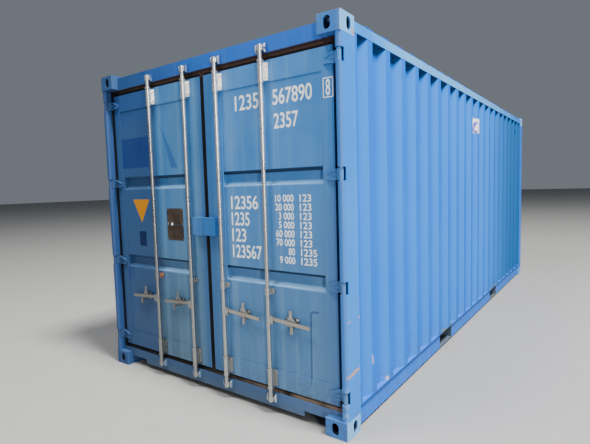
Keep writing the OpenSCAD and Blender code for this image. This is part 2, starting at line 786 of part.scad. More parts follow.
module blade_side() polygon(concat(
    [[0, -knuckle_h / 2], [nose_w, -knuckle_h / 2], [blade_reach - rib_w, blade_low(blade_reach)],
        [blade_reach, blade_low(blade_reach) + rib_w]],
    [for (i = [blade_steps : -1 : 0]) [blade_at(i), blade_top(blade_at(i))]],
    [[0, knuckle_h / 2]]));

module rib_plan() polygon([
    [blade_back + 1, rib_from], [blade_back - blade_rib, rib_from + rib_w],
    [blade_back - blade_rib, blade_reach - 2 * rib_w], [blade_back + 1, blade_reach - rib_w]]);

module rib_sides() {
    polygon(concat(
        [for (i = [0 : blade_steps]) [blade_at(i), blade_top(blade_at(i))]],
        [for (i = [blade_steps : -1 : 0]) [blade_at(i), blade_top(blade_at(i)) - rib_w]]));
    polygon([
        [nose_w, blade_low(nose_w)], [blade_reach, blade_low(blade_reach)],
        [blade_reach, blade_low(blade_reach) + rib_w], [nose_w, blade_low(nose_w) + rib_w]]);
    polygon([
        [nose_w, -1.4 * rib_w], [rib_mid, -rib_w], [rib_mid, -0.3 * rib_w], [nose_w, -0.4 * rib_w]]);
}

module hinge() {
    difference() {
        union() {
            translate([pin_depth, pin_t, -knuckle_h / 2]) cylinder(r = knuckle_r, h = knuckle_h);
            intersection() {
                translate([0, 0, -knuckle_h / 2]) linear_extrude(knuckle_h) blade_plan();
                rotate([90, 0, 90]) linear_extrude(leaf_depth + eps) blade_side();
            }
        }
        translate([pin_depth, pin_t, -knuckle_h]) cylinder(r = knuckle_bore_r, h = 2 * knuckle_h);
    }
    intersection() {
        translate([0, 0, -knuckle_h / 2]) linear_extrude(knuckle_h) rib_plan();
        rotate([90, 0, 90]) linear_extrude(leaf_depth) rib_sides();
    }
}

module door_hinges() for (i = [0 : hinges - 1]) translate([0, 0, hinge_z(i)]) hinge();

// Lock gear on a door: sleeves for the rods, guides and the handle holders
module plate_round_edge(w, h, r) rotate([90, 0, 90])
    translate([-w / 2, -h / 2, 0]) block_round([w, h, bracket_plate], r);

module sleeve(h, short) {
    difference() {
        union() {
            cylinder(d = sleeve_d, h = h, center = true);
            for (s = [-1, 1]) translate([0, 0, s * (h - collar_h) / 2])
                cylinder(d = collar_d, h = collar_h, center = true);
            translate([0, -sleeve_d / 2, -h / 2 + short / 2])
                cube([plate_front - rod_depth, sleeve_d, h - short]);
            translate([plate_front - rod_depth, 0, 0]) plate_round_edge(bracket_w, h - short, plate_round);
        }
        cylinder(r = rod_bore, h = h + 2 * eps, center = true);
    }
}

// Handle holder: a plate, an ear with a round top, a shelf under the bar and the stud of a catch
module holder_ear() translate([ear_front, 0, bar_z]) rotate([90, 0, 90]) linear_extrude(ear_t)
    difference() {
        union() {
            polygon([
                [-ear_foot, -handle_h / 2], [ear_foot, -handle_h / 2], [ear_foot, 2], [ear_r, ear_up / 2],
                [ear_r - 2, ear_up], [2 - ear_r, ear_up], [-ear_r, ear_up / 2], [-ear_foot, 2]]);
            translate([0, ear_up]) circle(r = ear_r);
        }
        translate([seal_hole, handle_h / 2 + 2 * seal_hole]) circle(r = seal_hole);
    }

module handle_holder() {
    translate([plate_front, 0, bar_z]) plate_round_edge(holder_w, holder_h, plate_round);
    holder_ear();
    translate([ear_front + ear_t / 2, -ear_block / 2, bar_z - handle_h / 2])
        cube([leaf_depth - ear_front - ear_t / 2 - 1, ear_block, handle_h]);
    translate([handle_front - 2, -shelf_w / 2, shelf_top - shelf_t])
        cube([leaf_depth - handle_front + 1, shelf_w, shelf_t]);
    translate([catch_depth - 2, -catch_off, catch_z]) rotate([0, 90, 0])
        cylinder(d = stud_d, h = leaf_depth - catch_depth + 1);
    translate([catch_depth + catch_t + 1, -catch_off, catch_z]) rotate([0, 90, 0])
        cylinder(r = catch_boss, h = leaf_depth - catch_depth - catch_t - 2);
}

module door_lock_gear() {
    for (t = rod_t) {
        for (z = [bracket_low_z, bracket_top_z]) translate([rod_depth, t, z]) sleeve(bracket_h, plate_short);
        translate([rod_depth, t, guide_z]) sleeve(guide_h, guide_short);
        translate([0, t - holder_reach, 0]) handle_holder();
    }
}

// Lock rod: a tube with an eared cam at each end and the hub of its handle
module cam() {
    rotate([0, 0, 90]) slot(2 * cam_half, cam_t, cam_h);
    cylinder(r = rod_r + cam_collar, h = cam_h + 2 * (cam_end - cam_collar), center = true);
}

module hub_outline() translate([0, -hub_drop]) polygon([
    [0, -hub_h / 2], [0, hub_h / 2], [-pivot_reach, hub_h / 2],
    [-pivot_reach - hub_end, hub_h / 2 - hub_end], [-pivot_reach - hub_end, hub_end - hub_h / 2],
    [-pivot_reach, -hub_h / 2]]);

module handle_hub() {
    for (d = [hub_front, 2 * rod_depth - hub_front - hub_plate])
        translate([d - rod_depth, 0, 0]) rotate([90, 0, 90]) linear_extrude(hub_plate) hub_outline();
    for (z = [-hub_h / 2, hub_h / 2 - hub_rim])
        translate([hub_front - rod_depth - pivot_out / 2, -pivot_reach, z - hub_drop])
            cube([pivot_out, pivot_reach, hub_rim]);
    translate([hub_front - rod_depth - pivot_out, -pivot_reach, 0]) rotate([0, 90, 0])
        cylinder(d = pivot_d, h = 2 * (rod_depth - hub_front + pivot_out));
}

module lock_rod(t) translate([rod_depth, t, 0]) {
    translate([0, 0, rod_low]) cylinder(r = rod_r, h = rod_high - rod_low);
    translate([0, 0, cam_low_z]) cam();
    translate([0, 0, cam_top_z]) cam();
    translate([0, 0, handle_z]) handle_hub();
}

// Handle: a flat bar that slopes down from its pivot to a rounded grip
module lock_handle(t) translate([handle_front, t - pivot_reach, handle_z]) rotate([handle_slope, 0, 0])
    difference() {
        union() {
            translate([0, -bar_l, -handle_h / 2]) cube([handle_t, bar_l, handle_h]);
            for (y = [-bar_l, 0]) translate([0, y, 0]) rotate([0, 90, 0]) cylinder(d = handle_h, h = handle_t);
        }
        translate([-eps, 0, 0]) rotate([0, 90, 0]) cylinder(r = pivot_d / 2 + pivot_play, h = handle_t + 2 * eps);
    }

// Catch: a pear-shaped plate that hangs from its stud and turns up over the handle
module handle_catch(t) translate([catch_depth, t - holder_reach - catch_off, catch_z]) difference() {
    union() {
        rotate([0, 90, 0]) cylinder(r = catch_boss, h = catch_t);
        translate([0, 0, -catch_l]) rotate([0, 90, 0]) cylinder(r = catch_r, h = catch_t);
        translate([0, -catch_boss, -catch_l]) cube([catch_t, 2 * catch_boss, catch_l]);
    }
    translate([-eps, 0, 0]) rotate([0, 90, 0]) cylinder(r = stud_d / 2 + pivot_play, h = catch_t + 2 * eps);
    translate([-eps, 0, -catch_l]) rotate([0, 90, 0]) cylinder(r = catch_hole, h = catch_t + 2 * eps);
}

// Lock box: one half on each door, a steel hood open below and at the seam
module lock_box() translate([box_front, mid - box_w / 2, box_z - box_h / 2]) difference() {
    cube([leaf_depth - box_front, box_w / 2 - box_seam, box_h]);
    translate([box_wall, box_wall, -eps])
        cube([leaf_depth - box_front, box_w / 2, box_h - box_wall + eps]);
}

module data_plate() color(zinc) door_end_left()
    for (z = [plate_z - plate_gap / 2 - plate_h, plate_z + plate_gap / 2])
        translate([leaf_depth + panel_inset - plate_t, mid - plate_off - plate_w / 2, z])
            rotate([90, 0, 90]) block_round([plate_w, plate_h, plate_t], plate_corner);

module right_door_frame() color(door_blue) door_end_right() door_frame();
module right_door_panel() color(door_blue) door_end_right() door_panel();
module right_door_gasket() color(rubber) door_end_right() door_gasket();
module right_door_hinges() color(door_blue) door_end_right() door_hinges();
module right_door_lock_gear() color(zinc) door_end_right() door_lock_gear();
module right_lock_box() color(box_blue) door_end_right() lock_box();
module left_door_frame() color(door_blue) door_end_left() door_frame();
module left_door_panel() color(door_blue) door_end_left() door_panel();
module left_door_gasket() color(rubber) door_end_left() door_gasket();
module left_door_hinges() color(door_blue) door_end_left() door_hinges();
module left_door_lock_gear() color(zinc) door_end_left() door_lock_gear();
module left_lock_box() color(box_blue) door_end_left() lock_box();
module lock_rod_1() color(zinc) door_end_left() lock_rod(rod_t[0]);
module lock_rod_2() color(zinc) door_end_left() lock_rod(rod_t[1]);
module lock_rod_3() color(zinc) door_end_right() lock_rod(rod_t[1]);
module lock_rod_4() color(zinc) door_end_right() lock_rod(rod_t[0]);
module lock_handle_1() color(zinc) door_end_left() lock_handle(rod_t[0]);
module lock_handle_2() color(zinc) door_end_left() lock_handle(rod_t[1]);
module lock_handle_3() color(zinc) door_end_right() lock_handle(rod_t[1]);
module lock_handle_4() color(zinc) door_end_right() lock_handle(rod_t[0]);
module handle_catch_1() color(zinc) door_end_left() handle_catch(rod_t[0]);
module handle_catch_2() color(zinc) door_end_left() handle_catch(rod_t[1]);
module handle_catch_3() color(zinc) door_end_right() handle_catch(rod_t[1]);
module handle_catch_4() color(zinc) door_end_right() handle_catch(rod_t[0]);

corner_castings_top();
corner_castings_bottom();
door_post_right();
door_post_left();
end_posts();
door_header();
door_sill();
top_side_rails();
bottom_side_rails();
end_top_rail();
end_bottom_rail();
side_wall_right();
side_wall_left();
end_wall();
roof();
floor_boards();
cross_members();
fork_pocket_tops();
fork_pocket_sides();
fork_pocket_soles();
hinge_pins();
cam_keepers();
right_door_frame();
right_door_panel();
right_door_gasket();
right_door_hinges();
right_door_lock_gear();
right_lock_box();
left_door_frame();
left_door_panel();
left_door_gasket();
left_door_hinges();
left_door_lock_gear();
left_lock_box();
data_plate();
lock_rod_1();
lock_rod_2();
lock_rod_3();
lock_rod_4();
lock_handle_1();
lock_handle_2();
lock_handle_3();
lock_handle_4();
handle_catch_1();
handle_catch_2();
handle_catch_3();
handle_catch_4();
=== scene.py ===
"""The looks of a blue twenty-foot shipping container, in metres, round its solid pieces."""

import math

import bpy
from mathutils import Matrix, Vector


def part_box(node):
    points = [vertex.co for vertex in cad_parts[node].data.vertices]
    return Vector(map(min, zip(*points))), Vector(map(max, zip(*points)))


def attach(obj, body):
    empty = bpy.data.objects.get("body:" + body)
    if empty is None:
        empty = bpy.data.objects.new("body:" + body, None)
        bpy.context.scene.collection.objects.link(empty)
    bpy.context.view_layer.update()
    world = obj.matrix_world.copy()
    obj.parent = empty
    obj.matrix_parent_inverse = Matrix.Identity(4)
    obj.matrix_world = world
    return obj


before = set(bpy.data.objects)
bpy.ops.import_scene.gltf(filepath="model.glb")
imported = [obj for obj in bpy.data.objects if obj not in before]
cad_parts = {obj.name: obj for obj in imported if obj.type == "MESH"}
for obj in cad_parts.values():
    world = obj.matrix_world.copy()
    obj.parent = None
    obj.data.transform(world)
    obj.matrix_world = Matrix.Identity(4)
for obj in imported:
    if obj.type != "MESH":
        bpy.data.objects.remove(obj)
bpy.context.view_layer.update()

# Where the photograph was taken from: place, angles in degrees, focal length and picture width in pixels
eye = Vector((-5.324, -2.523, 1.581))
look_yaw = 35.85
look_pitch = -4.54
look_roll = -1.62
focal_px = 445.6
picture_px = 590
sensor = 36.0

# Faces that the small pieces and the painted marks sit on
box_low, box_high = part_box("corner_castings_top")
door_end = box_low.x
near_side = box_low.y
panel_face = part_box("right_door_panel")[0].x
frame_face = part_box("right_door_frame")[0].x
plate_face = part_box("data_plate")[0].x
gear_plate_face = frame_face - 0.005
keeper_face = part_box("cam_keepers")[0].x
rail_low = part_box("top_side_rails")[0].z
wall_face = -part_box("side_wall_right")[0].y
header_low = 2.463

# Hollow of a corner casting: how far in from the outer faces it starts and ends
hollow_start = 0.010
hollow_end_x, hollow_end_y, hollow_end_z = 0.170, 0.154, 0.108

# Channels pressed in the door panels
channel_middles = (0.962, 1.652)
channel_half = 0.054
channel_slope = 0.024

# Lock gear places, as in the solids
rod_numbers = (1, 2, 3, 4)
outer_rod = 0.598
inner_rod = 0.172
guide_z = 0.868
holder_z = 0.6736
holder_reach = 0.183

# Bolts of the lock gear: half their spacing along Y and Z, and the sleeves' middle from the gear's end
sleeve_bolts = (0.0315, 0.037)
holder_bolts = (0.0425, 0.018)
sleeve_middle = 0.073

# Folds of the side walls, for paint that differs from face to face
fold_pitch = 0.278
fold_start = -2.8145

# Torn sticker on the near side wall: its ends along X and Z
sticker = ((-0.12, 0.20), (2.133, 2.293))

# Touched-up paint on the right door: a line from its foot to its tip, as (Y, Z)
touch_up_line = ((-0.919, 0.270), (-0.925, 0.750), (-0.940, 0.764), (-0.982, 0.766))
touch_up_radius = 0.009

# On the left door: two repainted patches as ends along Y and Z, and a diagonal run as its top corner,
# the lean of its two edges, and its foot
large_patch = ((0.654, 1.052), (1.780, 2.038))
small_patch = ((0.982, 1.061), (0.798, 0.899))
run_y, run_top, run_low = 0.527, 2.144, 1.760
run_lean, run_spread = 0.54, 0.22

# Thickness of painted marks and stickers
ink = 0.0004

# Single rows of digits on the right door: text, left and right end along Y, lower and upper edge, face
digit_rows = {
    "digits_top_left": ("1235", -0.323, -0.540, 2.121, 2.226, panel_face),
    "digits_top_right": ("567890", -0.662, -0.975, 2.121, 2.224, panel_face),
    "digit_boxed": ("8", -1.080, -1.110, 2.126, 2.222, frame_face),
    "digits_second_row": ("2357", -0.666, -0.866, 1.966, 2.067, panel_face),
}

# The line round the last digit: its outside size, its width, and its middle as (Y, Z)
line_size, line_width, line_middle = (0.072, 0.119), 0.005, (-1.096, 2.173)

# Rows of large digits under one another: text and right end
large_rows = (("12356", -0.505), ("1235", -0.422), ("123", -0.384), ("123567", -0.525))
large_left, large_top, large_pitch, large_height = -0.250, 1.430, 0.1175, 0.096

# Rows of small digits: number, unit, and the unit's right end; a number ends where its column does
small_rows = (("10 000", "123", -0.949), ("20 000", "123", -0.949), ("3 000", "123", -0.949),
              ("5 000", "123", -0.949), ("60 000", "123", -0.949), ("70 000", "123", -0.949),
              ("80", "1235", -0.985), ("9 000", "1235", -0.985))
small_right, small_width, unit_left = -0.811, 0.0255, -0.860
small_top, small_pitch, small_height = 1.482, 0.0592, 0.048

# Vents in a hollow of the side walls, with four lips each
fold_depth = 0.0364
vent_size = (0.064, 0.018, 0.102)
vent_place = (2.502, fold_depth - vent_size[1] - wall_face, 2.345)
lip_size = (0.052, 0.002, 0.016)
lip_heights = (0.033, 0.0105, -0.012, -0.0345)
lip_y, lip_lean = -0.004, 0.6

# Floor screws: rows on either side of the middle one, their spacing along X, places along Y in a row,
# and how far a head's middle lies over the floor
screw_rows = range(-9, 10)
screw_pitch = 0.286
screws_in_row = (-1.05, -0.78, -0.64, -0.36, -0.22, 0.22, 0.36, 0.64, 0.78, 1.05)
screw_rise = 0.0003


class Wire:
    """One socket of a finish's nodes, used as a number in sums."""

    def __init__(self, finish, socket):
        self.finish = finish
        self.socket = socket

    def math(self, operation, *values):
        """A sum or another operation on numbers and wires, as a new node."""
        return self.finish.add("ShaderNodeMath", {"operation": operation}, values)

    def __add__(self, other):
        return self.math("ADD", self, other)

    def __sub__(self, other):
        return self.math("SUBTRACT", self, other)

    def __mul__(self, other):
        return self.math("MULTIPLY", self, other)

    def __rsub__(self, other):
        return self.math("SUBTRACT", other, self)

    def __or__(self, other):
        """The larger of two masks."""
        return self.math("MAXIMUM", self, other)

    def __abs__(self):
        return self.math("ABSOLUTE", self)

    def fraction(self):
        """What is left over a whole number."""
        return self.math("FRACT", self)

    __radd__ = __add__
    __rmul__ = __mul__


class Finish:
    """A material and the nodes that make it."""

    def __init__(self, name):
        self.material = bpy.data.materials.new(name)
        self.material.use_nodes = True
        self.nodes = self.material.node_tree.nodes
        self.links = self.material.node_tree.links
        self.shader = self.nodes["Principled BSDF"]
        self.place = self.add("ShaderNodeTexCoord", out="Object")
        self.x, self.y, self.z = (self.add("ShaderNodeSeparateXYZ", sockets=[self.place], out=axis)
                                  for axis in "XYZ")

    def add(self, kind, settings=None, sockets=(), out=0):
        """Adds a node: its settings first, then its sockets by number or by name."""
        node = self.nodes.new(kind)
        for name, value in (settings or {}).items():
            setattr(node, name, value)
        named = sockets.items() if isinstance(sockets, dict) else enumerate(sockets)
        for key, value in named:
            self.feed(self.find(node.inputs, key), value)
        return Wire(self, self.find(node.outputs, out))

    @staticmethod
    def find(sockets, key):
        """A socket by its number, its identifier or its name."""
        if isinstance(key, int):
            return sockets[key]
        return next((s for s in sockets if s.identifier == key), None) or sockets[key]

    def feed(self, socket, value):
        """Links a wire to a socket, or sets the socket to a colour or a number."""
        if isinstance(value, Wire):
            self.links.new(value.socket, socket)
        elif isinstance(value, (tuple, Vector)) and len(value) == 3 and socket.type == "RGBA":
            socket.default_value = (*value, 1.0)
        else:
            socket.default_value = value

    def set(self, **sockets):
        """Feeds the shader: colours, numbers or wires by socket name, with _ for a space."""
        for name, value in sockets.items():
            self.feed(self.shader.inputs[name.replace("_", " ")], value)

    def vector(self, operation, *values, out=0):
        """An operation on vectors, as a new node."""
        return self.add("ShaderNodeVectorMath", {"operation": operation}, values, out)

    def noise(self, scale, detail=3.0, stretch=None):
        """Clouds of a size; stretch makes them finer along the axes with large factors."""
        where = self.vector("MULTIPLY", self.place, stretch) if stretch else self.place
        return self.add("ShaderNodeTexNoise", sockets={"Vector": where, "Scale": scale, "Detail": detail})

    def fade(self, value, low, high):
        """0 below low, 1 above high, smooth between."""
        return self.add("ShaderNodeMapRange", {"interpolation_type": "SMOOTHSTEP"},
                        {"Value": value, "From Min": low, "From Max": high})

    def mix(self, mask, under, over):
        """One colour laid over another where the mask is 1."""
        return self.add("ShaderNodeMix", {"data_type": "RGBA"},
                        {"Factor_Float": mask, "A_Color": under, "B_Color": over}, out="Result_Color")

    def within(self, value, low, high, soft):
        """1 between low and high, with soft edges."""
        return self.fade(value, low - soft, low + soft) * (1 - self.fade(value, high - soft, high + soft))

    def oblong(self, along, ends, heights, soft):
        """1 between two ends along X or Y and between two heights."""
        return self.within(along, *ends, soft) * self.within(self.z, *heights, soft)

    def stroke(self, start, end, radius, rough=None):
        """1 near the line from start to end, fading out at radius."""
        start, along = Vector(start), Vector(end) - Vector(start)
        away = self.vector("SUBTRACT", self.place, start)
        share = self.vector("DOT_PRODUCT", away, along, out="Value")
        share = self.add("ShaderNodeMapRange", sockets={"Value": share, "From Max": along.length_squared})
        foot = self.add("ShaderNodeVectorMath", {"operation": "SCALE"}, {0: along, "Scale": share})
        gap = self.vector("DISTANCE", away, foot, out="Value")
        if rough:
            gap = gap + (rough - 0.5) * (radius * 1.6)
        return 1 - self.fade(gap, radius * 0.55, radius)

    def bump(self, height, distance, strength):
        """A normal that makes the height look raised."""
        return self.add("ShaderNodeBump", sockets={"Height": height, "Distance": distance,
                                                   "Strength": strength})


# Colours under and over the paint
rust = (0.17, 0.055, 0.018)
rust_light = (0.42, 0.17, 0.07)
primer = (0.42, 0.24, 0.17)
grime = (0.085, 0.080, 0.045)
chalk = (0.20, 0.38, 0.52)


def weathered_paint(name, tone, faded, low=None, wash=chalk, streaks=0.5, dirt=0.6, chips=0.0,
                    gloss=0.3, rough=0.44, marks=None):
    """Blue paint: faded, streaked by rain, dirty near the ground, chipped to rust here and there.

    tone turns to faded in clouds, and to low near the ground; wash is the colour of the rain's streaks.
    marks adds what a piece has by itself: it takes the finish, its colour and a fine noise, and returns
    the new colour and a mask of bare rust, or None.
    """
    f = Finish(name)
    cloud = f.noise(0.9, 4.0)
    patchy = f.noise(4.0, 5.0)
    fine = f.noise(38.0, 5.0)
    skin = f.noise(210.0, 2.0)
    colour = f.mix(f.fade(cloud * 0.7 + patchy * 0.3, 0.38, 0.66), tone, faded)
    if low:
        colour = f.mix(f.fade(f.z + cloud * 0.6, 0.75, 2.15), low, colour)
    runs = f.noise(1.0, 3.0, stretch=(5.0, 5.0, 0.2))
    thin_runs = f.noise(1.0, 3.0, stretch=(19.0, 19.0, 0.4))
    colour = f.mix(f.fade(runs, 0.50, 0.70) * (0.5 * streaks), colour, wash)
    colour = f.mix(f.fade(thin_runs, 0.54, 0.72) * (0.4 * streaks), colour, wash)
    colour = f.mix((1 - f.fade(thin_runs, 0.30, 0.44)) * (0.35 * streaks), colour, tone)
    splash = 1 - f.fade(f.z + (patchy - 0.5) * 0.4, 0.04, 0.42)
    colour = f.mix(splash * f.fade(fine, 0.35, 0.65) * dirt, colour, grime)
    chipped = f.fade(fine + cloud * 0.22, 0.90 - 0.06 * chips, 0.94 - 0.06 * chips)
    if marks:
        colour, bare = marks(f, colour, fine)
        if bare:
            chipped = chipped | bare
    colour = f.mix(chipped, colour, f.mix(f.fade(patchy, 0.42, 0.58), rust, rust_light))
    dents = cloud * 0.4 + skin * 0.05 - chipped * 0.12
    f.set(Base_Color=colour,
          Roughness=rough + f.fade(patchy, 0.3, 0.7) * 0.16 + splash * 0.2 + chipped * 0.3,
          Specular_IOR_Level=gloss,
          Normal=f.bump(dents, 0.01, 0.5))
    return f.material


def side_scratch(f, start, end, radius, rough):
    """A stroke on the near side face, from start to end as (distance from the door end, height)."""
    return f.stroke(*((door_end + reach, near_side, z) for reach, z in (start, end)), radius, rough)


def far_side(f):
    """1 on the left of the doors' end, where shade is painted."""
    return f.fade(f.y, 0.3, 0.7)


def post_marks(f, colour, fine):
    """Scraped primer on the near post, a deeper nose with a worn foot, and painted shade on the far post."""
    ragged = f.noise(24.0, 6.0)
    scrape = side_scratch(f, (0.0, 0.398), (0.212, 0.424), 0.016, ragged)
    low_knock = side_scratch(f, (0.025, 0.747), (0.060, 0.746), 0.007, ragged)
    high_knock = side_scratch(f, (0.175, 0.745), (0.180, 0.752), 0.011, ragged)
    hurt = (scrape | low_knock | high_knock) * f.fade(fine, 0.38, 0.46)
    colour = f.mix(hurt, colour, primer)
    nose = 1 - f.fade(f.x, door_end + 0.010, door_end + 0.034)
    colour = f.mix(nose * 0.8, colour, (0.042, 0.150, 0.44))
    worn = f.within(f.z, 0.118, 0.33, 0.03) * nose
    colour = f.mix(worn * f.fade(fine, 0.40, 0.60) * 0.45, colour, chalk)
    # Painted shade over the far post.
    return f.mix(far_side(f) * 0.95, colour, (0.018, 0.052, 0.15)), None


def wall_marks(f, colour, fine):
    """Painted light on the fold slopes that face the doors, a torn sticker, painted shade on the far end,
    the rail's painted shadow in the hollows, and knocks near the doors.
    """
    ragged = f.noise(16.0, 5.0)
    # Painted light: the fold slopes that face the doors are paler, as if lit from that side.
    share = ((f.x - fold_start) * (1 / fold_pitch)).fraction()
    lit_slope = f.fade(share, 0.05, 0.42) * (1 - f.fade(share, 0.490, 0.500))
    colour = f.mix(lit_slope * 0.65, colour, (0.025, 0.205, 0.66))
    near_right = 1 - f.fade(f.y, near_side + 0.05, near_side + 0.08)
    torn = f.oblong(f.x, *sticker, 0.01) * near_right
    colour = f.mix(torn * f.fade(ragged, 0.46, 0.50), colour, (0.80, 0.80, 0.82))
    red_edge = f.fade(ragged, 0.40, 0.42) * (1 - f.fade(ragged, 0.44, 0.46))
    colour = f.mix(torn * red_edge, colour, (0.45, 0.10, 0.10))
    # Painted shade over the far end of the wall.
    colour = f.mix(f.fade(f.x, 0.2, 2.3) * 0.85, colour, (0.012, 0.078, 0.22))
    # Painted shadow of the top rail in the hollows, longer where they are deeper.
    rail_shadow = f.fade(f.z - rail_low + (wall_face - abs(f.y)) * 1.5, -0.010, 0.010)
    colour = f.mix(rail_shadow * 0.9, colour, (0.006, 0.026, 0.085))
    rubbed = side_scratch(f, (0.45, 0.208), (0.60, 0.180), 0.030, ragged) * near_right
    colour = f.mix(rubbed, colour, (0.62, 0.52, 0.46))
    graze = side_scratch(f, (0.36, 0.43), (0.37, 0.38), 0.016, ragged) * near_right
    colour = f.mix(graze * 0.5, colour, (0.45, 0.35, 0.45))
    nick = side_scratch(f, (1.00, 0.225), (1.03, 0.205), 0.016, ragged) * near_right
    colour = f.mix(nick * 0.8, colour, (0.03, 0.03, 0.04))
    return colour, rubbed * f.fade(fine, 0.50, 0.56)


def rail_marks(f, colour, fine):
    """Paler along the middle of its length, and painted shade underneath."""
    colour = f.mix(f.fade(f.x, -2.85, -1.9) * (1 - f.fade(f.x, 0.2, 2.4)) * 0.8, colour, (0.12, 0.38, 0.74))
    # Painted shade on the rail's underside.
    under = 1 - f.fade(f.z, rail_low + 0.0008, rail_low + 0.0020)
    return f.mix(under * 0.9, colour, (0.008, 0.030, 0.090)), None


def casting_marks(f, colour, fine):
    """Painted light on the near side, painted shade on the far side and in the hollows, a rubbed spot, and
    paint worn off the edges.
    """
    # Painted light on the near side face.
    colour = f.mix((1 - f.fade(f.y, near_side + 0.002, near_side + 0.004)) * 0.8, colour, (0.16, 0.42, 0.76))
    # Painted shade over the far castings.
    colour = f.mix(far_side(f) * 0.9, colour, (0.018, 0.055, 0.15))
    spot = side_scratch(f, (0.146, 2.505), (0.170, 2.478), 0.012, fine)
    colour = f.mix(spot * 0.8, colour, rust_light)
    # Painted shade inside the hollows of the castings.
    hollow = f.within(abs(f.x), box_high.x - hollow_end_x, box_high.x - hollow_start, 0.003)
    hollow = hollow * f.within(abs(f.y), box_high.y - hollow_end_y, box_high.y - hollow_start, 0.003)
    bottom = f.within(f.z, hollow_start, hollow_end_z, 0.003)
    top = f.within(f.z, box_high.z - hollow_end_z, box_high.z - hollow_start, 0.003)
    colour = f.mix(hollow * (bottom + top) * 0.95, colour, (0.014, 0.016, 0.024))
    edge = 0.008
    ends = 1 - f.within(f.x, box_low.x + edge, box_high.x - edge, 0.006)
    sides = 1 - f.within(f.y, box_low.y + edge, box_high.y - edge, 0.006)
    levels = 1 - f.within(f.z, edge, box_high.z - edge, 0.006)
    corners = ends * sides + sides * levels + ends * levels
    return colour, f.fade(corners * fine, 0.50, 0.62) * 0.5


def beam_marks(f, colour, fine):
    """Painted shade towards the left and on the sill, a dirty foot, and a dark brown band along the header's
    lower edge, painted shade with drips.
    """
    # Painted shade towards the left.
    colour = f.mix(f.fade(f.y, -0.5, 1.1) * 0.88, colour, (0.014, 0.052, 0.15))
    # Painted shade on the middle and left of the recessed sill.
    sill = 1 - f.fade(f.z, 0.4, 0.6)
    colour = f.mix(sill * f.fade(f.y, -1.05, -0.2) * 0.7, colour, (0.035, 0.075, 0.15))
    # Painted shade with ragged drips along the header's lower edge.
    drips_and_shade = f.within(f.z + (fine - 0.5) * 0.008, header_low - 0.1, header_low + 0.006, 0.002)
    colour = f.mix(drips_and_shade * f.fade(f.z, 1.0, 1.1) * 0.85, colour, (0.040, 0.026, 0.024))
    low = 1 - f.fade(f.z + (fine - 0.5) * 0.06, 0.03, 0.11)
    return f.mix(low * 0.35, colour, (0.10, 0.12, 0.12)), None


def keeper_marks(f, colour, fine):
    """Paler keeper fronts: painted highlight with wear from the cams, fainter on the left."""
    front = 1 - f.fade(f.x, keeper_face + 0.010, keeper_face + 0.024)
    near = 1 - f.fade(f.y, -0.7, 0.3) * 0.75
    # Painted highlight with cam wear on the keepers' fronts.
    return f.mix(front * f.fade(fine, 0.36, 0.52) * near * 0.9, colour, (0.42, 0.46, 0.50)), None


def channel_shade_and_light(f, colour):
    """Painted shade on the slopes that face down in the channels, and painted light on those that face up.
    """
    for middle in channel_middles:
        top, bottom = middle + channel_half, middle - channel_half
        down = f.within(f.z, top - channel_slope, top, 0.002)
        up = f.within(f.z, bottom - 0.006, bottom + channel_slope, 0.005)
        inside = f.fade(f.x, panel_face + 0.002, panel_face + 0.006)
        pressed = f.fade(f.x, panel_face - 0.002, panel_face - 0.001)
        # Painted shade on the downward slopes.
        colour = f.mix(down * inside * 0.95, colour, (0.006, 0.018, 0.042))
        # Painted light on the upward slopes.
        colour = f.mix(up * pressed * 0.5, colour, (0.22, 0.46, 0.76))
    return colour


def outside(f):
    """1 on the outer skin of a door and 0 on its inner skin."""
    return 1 - f.fade(f.x, panel_face + 0.0006, panel_face + 0.0014)


def rod_shade(f, colour, rod, width):
    """A pale streak on the door beside a rod, where rain runs off."""
    wobble = f.noise(1.0, 2.0, stretch=(1.0, 30.0, 0.5))
    near, far = rod - 0.055, rod - 0.075 - width
    streak = f.within(f.y, far, near, 0.012) * f.fade(wobble, 0.30, 0.60)
    return f.mix(streak * outside(f) * 0.22, colour, (0.20, 0.36, 0.48))


def right_door_marks(f, colour, fine):
    """A darker seam stile and foot, streaks beside the rods, and a dark touch-up stroke with a hook."""
    colour = channel_shade_and_light(f, colour)
    colour = rod_shade(f, colour, -inner_rod, 0.045)
    colour = rod_shade(f, colour, -outer_rod, 0.030)
    colour = f.mix(f.fade(f.y, -0.13, -0.07) * 0.62, colour, (0.018, 0.085, 0.24))
    stile = 1 - f.fade(f.y, -1.13, -1.0)
    colour = f.mix(stile * (1 - f.fade(f.z, 1.3, 2.1)) * 0.6, colour, (0.052, 0.145, 0.36))
    foot, neck, bend, tip = (Vector((panel_face, y, z)) for y, z in touch_up_line)
    hook = f.stroke(neck, bend, touch_up_radius) | f.stroke(bend, tip, touch_up_radius)
    line = f.stroke(neck, foot, touch_up_radius) | hook
    return f.mix(line * outside(f) * 0.8, colour, (0.025, 0.075, 0.20)), None


